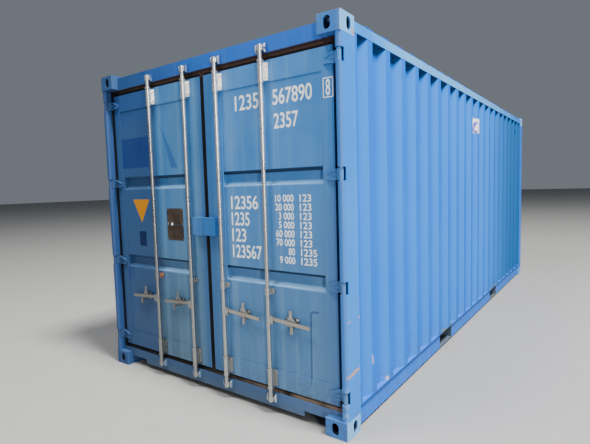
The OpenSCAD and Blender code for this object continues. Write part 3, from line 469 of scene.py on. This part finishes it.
def left_door_marks(f, colour, fine):
    """Painted shade with darker paint on the hinge half and its edge, darker paint at the seam and the top,
    two repainted patches, and a diagonal run.
    """
    outer = outside(f)
    colour = channel_shade_and_light(f, colour)
    colour = rod_shade(f, colour, inner_rod, 0.035)
    colour = rod_shade(f, colour, outer_rod, 0.020)
    # Painted shade with darker paint on the hinge half.
    hinge_half = f.fade(f.y, outer_rod - 0.03, outer_rod + 0.05)
    colour = f.mix(hinge_half * 0.88, colour, (0.019, 0.058, 0.155))
    colour = f.mix(f.oblong(f.y, *large_patch, 0.003) * outer * 0.95, colour, (0.008, 0.035, 0.16))
    crisp_edge = f.y - f.z * run_lean + (run_lean * run_top - run_y)
    soft_edge = crisp_edge - (run_top - f.z) * run_spread
    run = f.fade(crisp_edge, -0.002, 0.002) * (1 - f.fade(soft_edge, -0.012, 0.012))
    run = run * f.within(f.z, run_low, run_top, 0.004)
    colour = f.mix(run * outer * 0.8, colour, (0.022, 0.098, 0.31))
    seam = (1 - f.fade(f.y, 0.10, 0.13)) * (1 - f.fade(f.z, 0.5, 1.6))
    colour = f.mix(seam * 0.6, colour, (0.050, 0.125, 0.25))
    colour = f.mix((1 - f.fade(f.y, 0.02, 0.11)) * 0.65, colour, (0.022, 0.090, 0.26))
    colour = f.mix(f.fade(f.z, 2.05, 2.3) * f.fade(f.y, 0.45, 0.75) * 0.6, colour, (0.012, 0.060, 0.22))
    # Painted shade, darker still, on the far edge with the hinges.
    colour = f.mix(f.fade(f.y, 1.10, 1.13) * 0.6, colour, (0.012, 0.040, 0.12))
    return f.mix(f.oblong(f.y, *small_patch, 0.006) * outer * 0.7, colour, (0.012, 0.045, 0.165)), None


def zinc_coat(name, high, low, rusty, marks=None):
    """Old hot-dip zinc with a few rust spots, its colour nearly white high up and greyer lower down as
    painted reflection, with painted shade on the left rods below their tops.
    """
    metal = 0.92
    f = Finish(name)
    grains = f.add("ShaderNodeTexVoronoi", {"feature": "F1"}, {"Vector": f.place, "Scale": 85.0},
                   out="Color")
    spangle = f.add("ShaderNodeSeparateColor", sockets=[grains])
    cloud = f.noise(7.0, 4.0)
    fine = f.noise(60.0, 4.0)
    # Painted reflection: nearly white high up, greyer lower down.
    colour = f.mix(f.fade(f.z + cloud * 0.2, 1.25, 2.20), low, high)
    # Painted shade on the left rods below their tops.
    shade = f.fade(f.y, -0.1, 0.35) * (1 - f.fade(f.z, 2.05, 2.40))
    colour = f.mix(shade * 0.55, colour, (0.060, 0.070, 0.085))
    colour = f.mix(spangle * 0.10, colour, (0.70, 0.70, 0.68))
    colour = f.mix(f.fade(cloud, 0.48, 0.70) * 0.20, colour, (0.22, 0.21, 0.19))
    spots = f.fade(fine + cloud * 0.35, 0.90 - 0.06 * rusty, 0.94 - 0.06 * rusty)
    if marks:
        colour, bare = marks(f, colour, fine)
        spots = spots | bare
    colour = f.mix(spots, colour, f.mix(fine, rust, rust_light))
    f.set(Base_Color=colour, Metallic=metal - spots * (0.8 * metal),
          Roughness=0.24 + f.fade(cloud, 0.3, 0.7) * 0.14 + spots * 0.4,
          Normal=f.bump(fine * 0.3 + cloud, 0.0008, 0.25))
    return f.material


def gear_marks(f, colour, fine):
    """Rust on the middle guide of the first rod, and thin rust under the handle holders."""
    top, foot = (Vector((frame_face, outer_rod - aside, z)) for aside, z in ((0.028, 0.905), (0.034, 0.845)))
    stain = f.stroke(top, foot, 0.030, fine)
    seep = f.within(f.z, holder_z - 0.034, holder_z - 0.012, 0.006) * f.fade(fine, 0.50, 0.62)
    return f.mix(seep * 0.5, colour, rust_light), stain


def gasket_rubber():
    """Black door rubber gone brown with dust."""
    f = Finish("gasket_rubber")
    cloud = f.noise(5.0, 4.0)
    fine = f.noise(120.0, 3.0)
    colour = f.mix(f.fade(cloud, 0.35, 0.70), (0.004, 0.004, 0.005), (0.012, 0.010, 0.009))
    low = (1 - f.fade(f.z, 0.16, 0.24)) * (1 - f.fade(f.y, -0.9, 0.2))
    colour = f.mix(low * f.fade(cloud, 0.25, 0.50) * 0.9, colour, (0.17, 0.125, 0.10))
    high = f.fade(f.z, 2.400, 2.425) * (1 - f.fade(f.y, 0.2, 1.2))
    colour = f.mix(high * f.fade(cloud, 0.20, 0.45) * 0.8, colour, (0.045, 0.024, 0.020))
    f.set(Base_Color=colour, Roughness=0.66 + fine * 0.2, Specular_IOR_Level=0.15,
          Normal=f.bump(fine, 0.001, 0.6))
    return f.material


def floor_plywood():
    """Brown marine plywood, worn by pallets along the box."""
    f = Finish("floor_plywood")
    grain = f.noise(1.0, 6.0, stretch=(3.0, 70.0, 30.0))
    cloud = f.noise(1.6, 4.0)
    scratches = f.noise(1.0, 2.0, stretch=(1.2, 160.0, 1.0))
    colour = f.mix(f.fade(grain, 0.35, 0.65), (0.20, 0.105, 0.050), (0.34, 0.20, 0.10))
    colour = f.mix(f.fade(cloud, 0.45, 0.70) * 0.5, colour, (0.12, 0.085, 0.06))
    colour = f.mix(f.fade(scratches, 0.66, 0.72) * 0.6, colour, (0.45, 0.33, 0.22))
    f.set(Base_Color=colour, Roughness=0.55 + grain * 0.25, Normal=f.bump(grain + scratches, 0.001, 0.5))
    return f.material


def plate_metal():
    """The data plates: dull brown sheet metal with faint rubbed spots."""
    f = Finish("plate_metal")
    cloud = f.noise(14.0, 4.0)
    fine = f.noise(90.0, 3.0)
    colour = f.mix(f.fade(cloud, 0.35, 0.68), (0.040, 0.026, 0.019), (0.080, 0.055, 0.042))
    f.set(Base_Color=colour, Metallic=0.35, Roughness=0.45 + fine * 0.2, Normal=f.bump(fine, 0.0008, 0.4))
    return f.material


def mark_paint(name, tone, worn):
    """Marking paint or foil that has lost a few specks."""
    f = Finish(name)
    fine = f.noise(70.0, 4.0)
    cloud = f.noise(5.0, 3.0)
    colour = f.mix(f.fade(fine + cloud * 0.4, 0.66, 0.80) * worn, tone, tuple(0.45 * c + 0.02 for c in tone))
    f.set(Base_Color=colour, Roughness=0.48 + fine * 0.15, Specular_IOR_Level=0.15,
          Normal=f.bump(fine, 0.0004, 0.4))
    return f.material


# Blues of the side, the right door and the left door, and of the side's streaks
side_tone, side_faded = (0.001, 0.130, 0.60), (0.003, 0.150, 0.64)
door_tone, door_faded, door_low = (0.042, 0.190, 0.50), (0.070, 0.23, 0.52), (0.070, 0.18, 0.36)
# The left door's blues are darker than the right door's: partly its own paint, partly painted shade.
left_tone, left_faded, left_low = (0.035, 0.155, 0.38), (0.050, 0.18, 0.40), (0.060, 0.125, 0.205)
pale_blue = (0.030, 0.23, 0.66)

frame_paint = weathered_paint("frame_paint", side_tone, side_faded, wash=pale_blue, dirt=0.2, chips=0.2)
rail_paint = weathered_paint("top_rail_paint", (0.010, 0.19, 0.64), (0.035, 0.27, 0.70),
                             wash=pale_blue, chips=0.2, marks=rail_marks)
post_paint = weathered_paint("post_paint", (0.008, 0.18, 0.64), (0.020, 0.22, 0.70),
                             wash=pale_blue, streaks=0.9, dirt=0.2, marks=post_marks)
wall_paint = weathered_paint("wall_paint", side_tone, side_faded,
                             wash=pale_blue, streaks=0.0, gloss=0.04, rough=0.72, marks=wall_marks)
casting_paint = weathered_paint("casting_paint", (0.035, 0.15, 0.45), (0.055, 0.20, 0.50),
                                dirt=0.3, chips=0.3, marks=casting_marks)
# The beam paint's low colour is painted shade on the recessed sill.
beam_paint = weathered_paint("beam_paint", (0.010, 0.108, 0.49), (0.016, 0.124, 0.50),
                             low=(0.060, 0.13, 0.29), streaks=0.12, dirt=0.25, marks=beam_marks)
keeper_paint = weathered_paint("keeper_paint", (0.008, 0.040, 0.15), (0.012, 0.055, 0.19),
                               low=(0.05, 0.11, 0.20), streaks=0.1, dirt=0.2, chips=0.1, marks=keeper_marks)
under_paint = weathered_paint("under_paint", (0.03, 0.08, 0.18), (0.05, 0.11, 0.22), dirt=1.0, chips=1.0)
right_paint = weathered_paint("right_door_paint", door_tone, door_faded,
                              low=door_low, streaks=0.35, chips=-0.3, marks=right_door_marks)
left_paint = weathered_paint("left_door_paint", left_tone, left_faded,
                             low=left_low, streaks=0.30, chips=-0.3, marks=left_door_marks)
box_paint = weathered_paint("lock_box_paint", (0.014, 0.100, 0.33), (0.026, 0.125, 0.37),
                            streaks=0.2, dirt=0.0)
zinc = zinc_coat("lock_zinc", (0.93, 0.91, 0.88), (0.42, 0.43, 0.42), rusty=0.0, marks=gear_marks)
handle_zinc = zinc_coat("handle_zinc", (0.46, 0.43, 0.38), (0.42, 0.39, 0.34), rusty=0.8)
rubber = gasket_rubber()
plywood = floor_plywood()
plate = plate_metal()
white_paint = mark_paint("marking_white", (0.90, 0.95, 1.0), worn=0.15)
yellow_foil = mark_paint("yellow_foil", (0.50, 0.20, 0.004), worn=0.0)
dark_foil = mark_paint("dark_blue_foil", (0.003, 0.015, 0.075), worn=0.1)

NODE_FINISH = {
    casting_paint: ["corner_castings_top", "corner_castings_bottom"],
    post_paint: ["door_post_right", "door_post_left"],
    wall_paint: ["side_wall_right", "side_wall_left"],
    rail_paint: ["top_side_rails"],
    frame_paint: ["end_posts", "bottom_side_rails", "end_top_rail", "end_bottom_rail", "end_wall", "roof"],
    beam_paint: ["door_header", "door_sill"],
    keeper_paint: ["cam_keepers"],
    under_paint: ["cross_members", "fork_pocket_tops", "fork_pocket_sides", "fork_pocket_soles"],
    plywood: ["floor_boards"],
    right_paint: ["right_door_frame", "right_door_panel", "right_door_hinges"],
    left_paint: ["left_door_frame", "left_door_panel", "left_door_hinges"],
    box_paint: ["right_lock_box", "left_lock_box"],
    rubber: ["right_door_gasket", "left_door_gasket"],
    plate: ["data_plate"],
    zinc: ["hinge_pins", "right_door_lock_gear", "left_door_lock_gear",
           *(f"lock_rod_{i}" for i in rod_numbers)],
    handle_zinc: [*(f"lock_handle_{i}" for i in rod_numbers), *(f"handle_catch_{i}" for i in rod_numbers)],
}


def dress_solids():
    """Gives every solid piece its finish."""
    for finish, names in NODE_FINISH.items():
        for name in names:
            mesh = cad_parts[name].data
            mesh.materials.clear()
            mesh.materials.append(finish)


def draw(operator, **settings):
    """Adds one new object, with nothing else selected."""
    bpy.ops.object.select_all(action="DESELECT")
    operator(**settings)
    return bpy.context.object


def keep(piece, name, finish, body):
    """Names a finished piece, paints it and lets it ride on a body."""
    piece.name = piece.data.name = name
    piece.data.materials.clear()
    piece.data.materials.append(finish)
    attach(piece, body)


def settle(piece, matrix):
    """Puts a piece's place into its mesh, with the object itself at the origin."""
    piece.data.transform(matrix @ piece.matrix_basis)
    piece.matrix_basis = Matrix.Identity(4)


def corners(piece):
    """The lowest and the highest corner of a piece's mesh."""
    return [Vector([pick(v.co[k] for v in piece.data.vertices) for k in range(3)]) for pick in (min, max)]


def twin_of(piece):
    """A copy of a piece with a mesh of its own."""
    twin = piece.copy()
    twin.data = piece.data.copy()
    bpy.context.collection.objects.link(twin)
    return twin


def join(parts):
    """Makes several objects one, the first."""
    bpy.ops.object.select_all(action="DESELECT")
    for part in parts:
        part.select_set(True)
    bpy.context.view_layer.objects.active = parts[0]
    bpy.ops.object.join()
    return parts[0]


def edit(piece, *steps):
    """Runs edit-mode steps on one piece, with all of it selected at first."""
    bpy.ops.object.select_all(action="DESELECT")
    bpy.context.view_layer.objects.active = piece
    piece.select_set(True)
    bpy.ops.object.mode_set(mode="EDIT")
    bpy.ops.mesh.select_all(action="SELECT")
    for step in steps:
        step()
    bpy.ops.object.mode_set(mode="OBJECT")


def face_out():
    """An edit step that turns all faces outwards."""
    bpy.ops.mesh.select_all(action="SELECT")
    bpy.ops.mesh.normals_make_consistent(inside=False)


def thicken(thick):
    """An edit step that gives a flat sheet its thickness."""
    def step():
        bpy.ops.mesh.select_all(action="SELECT")
        bpy.ops.mesh.extrude_region_move(TRANSFORM_OT_translate={"value": (0, 0, thick)})
        face_out()
    return step


def bevel(offset, segments, affect="EDGES"):
    """An edit step that rounds the edges, or the corners, of what is selected."""
    return lambda: bpy.ops.mesh.bevel(offset=offset, segments=segments, affect=affect)


def flat_on_door(x, y, z):
    """A sheet drawn flat, with its middle at the origin, goes upright on the door's face."""
    return Matrix(((0, 0, -1, x), (-1, 0, 0, y), (0, 1, 0, z), (0, 0, 0, 1)))


def digits(name, text, y_left, y_right, z_low, z_high, face):
    """A row of plain white digits painted on the right door, drawn a little bolder than the font's."""
    piece = draw(bpy.ops.object.text_add)
    piece.data.body = text
    piece.data.extrude = 0.5
    piece.data.offset = 0.012
    piece.data.resolution_u = 6
    bpy.ops.object.convert(target="MESH")
    piece = bpy.context.object
    edit(piece, lambda: bpy.ops.mesh.remove_doubles(threshold=0.0005), face_out)
    low, high = corners(piece)
    size = high - low
    fit = Matrix.Diagonal(((y_left - y_right) / size.x, (z_high - z_low) / size.y, ink, 1))
    centre = Matrix.Translation(-(low + high) / 2)
    settle(piece, flat_on_door(face - ink / 2, (y_left + y_right) / 2, (z_low + z_high) / 2) @ fit @ centre)
    keep(piece, name, white_paint, "right_door")


def tablet(name, finish, face, middle, size, corner, sides=4, turn=45.0):
    """A thin patch on the left door: an outline with rounded corners, then given its thickness.

    middle is (Y, Z), size is width and height, and turn brings the outline upright, in degrees.
    """
    piece = draw(bpy.ops.mesh.primitive_circle_add, vertices=sides, radius=1.0, fill_type="NGON",
                 rotation=(0, 0, math.radians(turn)))
    settle(piece, Matrix.Identity(4))
    low, high = corners(piece)
    fit = Matrix.Diagonal((size[0] / (high.x - low.x), size[1] / (high.y - low.y), 1, 1))
    piece.data.transform(fit @ Matrix.Translation(-(low + high) / 2))
    edit(piece, bevel(corner, 5, affect="VERTICES"), thicken(ink))
    settle(piece, flat_on_door(face, *middle))
    keep(piece, name, finish, "left_door")


def copies(name, model, places, finish, body):
    """Copies of one small part, joined as one piece."""
    parts = [twin_of(model) for _ in places]
    for part, place in zip(parts, places):
        part.data.transform(place)
    keep(join(parts), name, finish, body)


def bolt_model():
    """A hexagon head on a washer, drawn with its axis up."""
    washer_thick, head_high = 0.002, 0.006
    washer = draw(bpy.ops.mesh.primitive_cylinder_add, vertices=24, radius=0.011, depth=washer_thick,
                  location=(0, 0, washer_thick / 2))
    edit(washer, bevel(0.0004, 1))
    head = draw(bpy.ops.mesh.primitive_cylinder_add, vertices=6, radius=0.0085, depth=head_high,
                location=(0, 0, washer_thick + head_high / 2))
    edit(head, bevel(0.0007, 2))
    for part in (washer, head):
        settle(part, Matrix.Identity(4))
    return join([washer, head])


def rivet_model():
    """A low domed rivet head: half a ball, pressed flatter."""
    piece = draw(bpy.ops.mesh.primitive_uv_sphere_add, segments=16, ring_count=8, radius=0.0045)
    edit(piece, lambda: bpy.ops.mesh.bisect(plane_co=(0, 0, 0), plane_no=(0, 0, 1), clear_inner=True,
                                            use_fill=True))
    piece.data.transform(Matrix.Diagonal((1, 1, 0.55, 1)))
    bpy.ops.object.shade_smooth_by_angle(angle=math.radians(40))
    return piece


def four_round(y, z, half):
    """The four corners round a middle, from half their spacing along Y and Z."""
    return [(y + dy, z + dz) for dy in (-half[0], half[0]) for dz in (-half[1], half[1])]


def add_bolts():
    """Bolts in the plates of the rod sleeves, the middle guides and the handle holders."""
    model = bolt_model()
    for body, side in (("left_door", 1), ("right_door", -1)):
        low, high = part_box(f"{body}_lock_gear")
        spots = []
        for reach in (outer_rod, inner_rod):
            rod, holder = side * reach, side * (reach + holder_reach)
            for z in (low.z + sleeve_middle, high.z - sleeve_middle):
                spots += four_round(rod, z, sleeve_bolts)
            spots += [(rod - sleeve_bolts[0], guide_z), (rod + sleeve_bolts[0], guide_z)]
            spots += four_round(holder, holder_z, holder_bolts)
        places = [flat_on_door(gear_plate_face, y, z) for y, z in spots]
        copies(f"{body}_gear_bolts", model, places, zinc, body)
    bpy.data.objects.remove(model)


def add_plate_rivets():
    """A rivet in each corner of the two data plates, one above the other with a narrow gap."""
    model = rivet_model()
    low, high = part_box("data_plate")
    inset, half_gap = 0.009, 0.0015
    middle = (low.z + high.z) / 2
    rows = (low.z + inset, middle - half_gap - inset, middle + half_gap + inset, high.z - inset)
    places = [flat_on_door(plate_face, y, z) for y in (low.y + inset, high.y - inset) for z in rows]
    copies("plate_rivets", model, places, zinc, "left_door")
    bpy.data.objects.remove(model)


def add_markings():
    """Plain digits in rows, at the places and sizes of the markings on the right door."""
    for name, (text, *place) in digit_rows.items():
        digits(name, text, *place)
    for row, (text, right) in enumerate(large_rows):
        z = large_top - row * large_pitch
        digits(f"digits_large_{row + 1}", text, large_left, right, z, z + large_height, panel_face)
    for row, (number, unit, right) in enumerate(small_rows):
        z = small_top - row * small_pitch
        left = small_right + small_width * len(number)
        digits(f"digits_small_{row + 1}", number, left, small_right, z, z + small_height, panel_face)
        digits(f"digits_unit_{row + 1}", unit, unit_left, right, z, z + small_height, panel_face)


def add_digit_frame():
    """The thin square line round the last digit."""
    piece = draw(bpy.ops.mesh.primitive_plane_add, size=1.0)
    piece.data.transform(Matrix.Diagonal((*line_size, 1, 1)))
    edit(piece, lambda: bpy.ops.mesh.inset(thickness=line_width, depth=0),
         lambda: bpy.ops.mesh.delete(type="FACE"), thicken(ink))
    settle(piece, flat_on_door(frame_face, *line_middle))
    keep(piece, "digit_frame", white_paint, "right_door")


def add_left_door_signs():
    """A plain yellow triangle, a plain dark foil, and a white dot on the data plate."""
    tablet("yellow_triangle", yellow_foil, panel_face, middle=(0.823, 1.407), size=(0.228, 0.200),
           corner=0.008, sides=3, turn=180.0)
    tablet("dark_foil", dark_foil, panel_face, middle=(0.820, 1.167), size=(0.094, 0.127), corner=0.003)
    tablet("white_dot", white_paint, plate_face, middle=(0.420, 1.304), size=(0.024, 0.024),
           corner=0.0005, sides=24, turn=0.0)


def rounded_block(place, size, radius, segments):
    """A block of a size at a place, with its edges rounded."""
    block = draw(bpy.ops.mesh.primitive_cube_add, size=1.0)
    block.data.transform(place @ Matrix.Diagonal((*size, 1)))
    edit(block, bevel(radius, segments))
    return block


def vent_model():
    """A small pressed vent: a rounded box on the wall with slanted lips."""
    case = rounded_block(Matrix.Translation((0, vent_size[1] / 2, 0)), vent_size, 0.004, 3)
    lips = []
    for z in lip_heights:
        place = Matrix.Translation((0, lip_y, z)) @ Matrix.Rotation(lip_lean, 4, "X")
        lips.append(rounded_block(place, lip_size, 0.0006, 1))
    return join([case, *lips])


def add_vents():
    """One vent in a hollow of each side wall, high up near the blind end."""
    near = vent_model()
    near.data.transform(Matrix.Translation(vent_place))
    keep(near, "side_vent_right", wall_paint, "container")
    twin = twin_of(near)
    twin.data.transform(Matrix.Rotation(math.pi, 4, "Z"))
    keep(twin, "side_vent_left", wall_paint, "container")


def add_floor_screws():
    """Rows of flat screw heads that hold the floor to its cross members."""
    model = draw(bpy.ops.mesh.primitive_cylinder_add, vertices=16, radius=0.0065, depth=0.0010)
    edit(model, bevel(0.0003, 1))
    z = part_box("floor_boards")[1].z + screw_rise
    places = [Matrix.Translation((row * screw_pitch, y, z)) for row in screw_rows for y in screws_in_row]
    copies("floor_screws", model, places, handle_zinc, "container")
    bpy.data.objects.remove(model)


def add_camera():
    """The camera of the photograph."""
    yaw, pitch, roll = (math.radians(a) for a in (look_yaw, look_pitch, look_roll))
    forward = Vector((math.cos(yaw) * math.cos(pitch), math.sin(yaw) * math.cos(pitch), math.sin(pitch)))
    level = Vector((math.sin(yaw), -math.cos(yaw), 0))
    upright = level.cross(forward)
    right = level * math.cos(roll) + upright * math.sin(roll)
    up = upright * math.cos(roll) - level * math.sin(roll)
    data = bpy.data.cameras.new("photo_camera")
    data.sensor_width = sensor
    data.lens = focal_px * sensor / picture_px
    data.clip_end = 300.0
    camera = bpy.data.objects.new("photo_camera", data)
    bpy.context.scene.collection.objects.link(camera)
    camera.matrix_world = Matrix.Translation(eye) @ Matrix((right, up, -forward)).transposed().to_4x4()
    bpy.context.scene.camera = camera


def add_light(name, place, target, watts, tone, size, tall=None):
    """A soft lamp: round, or upright when a height is given."""
    data = bpy.data.lights.new(name, "AREA")
    data.shape = "RECTANGLE" if tall else "DISK"
    data.size = size
    data.size_y = tall or size
    data.energy = watts
    data.color = tone
    light = bpy.data.objects.new(name, data)
    bpy.context.scene.collection.objects.link(light)
    aim = (Vector(target) - Vector(place)).to_track_quat("-Z", "Y")
    light.matrix_world = Matrix.Translation(place) @ aim.to_matrix().to_4x4()


def add_studio():
    """A plain pale floor, an even sky and soft lamps."""
    floor = draw(bpy.ops.mesh.primitive_plane_add, size=160)
    floor.name = "studio_floor"
    pale = Finish("studio_floor")
    grit = pale.noise(6.0, 6.0)
    pale.set(Base_Color=pale.mix(grit, (0.22, 0.22, 0.217), (0.25, 0.25, 0.247)), Roughness=0.85)
    floor.data.materials.append(pale.material)
    world = bpy.data.worlds.new("studio_sky")
    world.use_nodes = True
    sky = world.node_tree.nodes["Background"]
    sky.inputs["Color"].default_value = (0.80, 0.88, 1.0, 1)
    sky.inputs["Strength"].default_value = 0.20
    bpy.context.scene.world = world
    add_light("side_lamp", (-3.5, -9.0, 20.0), target=(-1.2, -1.2, 1.3), watts=15500,
              tone=(1.0, 0.98, 0.95), size=5.0)
    add_light("door_lamp", (-6.2, 1.3, 9.6), target=(-3.0, 0.0, 1.2), watts=780,
              tone=(1.0, 0.98, 0.95), size=2.6)
    add_light("rod_lamp", (-8.2, -7.4, 2.9), target=(-3.0, 0.0, 1.6), watts=420,
              tone=(1.0, 0.99, 0.97), size=0.55, tall=5.2)


add_camera()
add_studio()
dress_solids()
add_markings()
add_digit_frame()
add_left_door_signs()
add_bolts()
add_plate_rivets()
add_vents()
add_floor_screws()
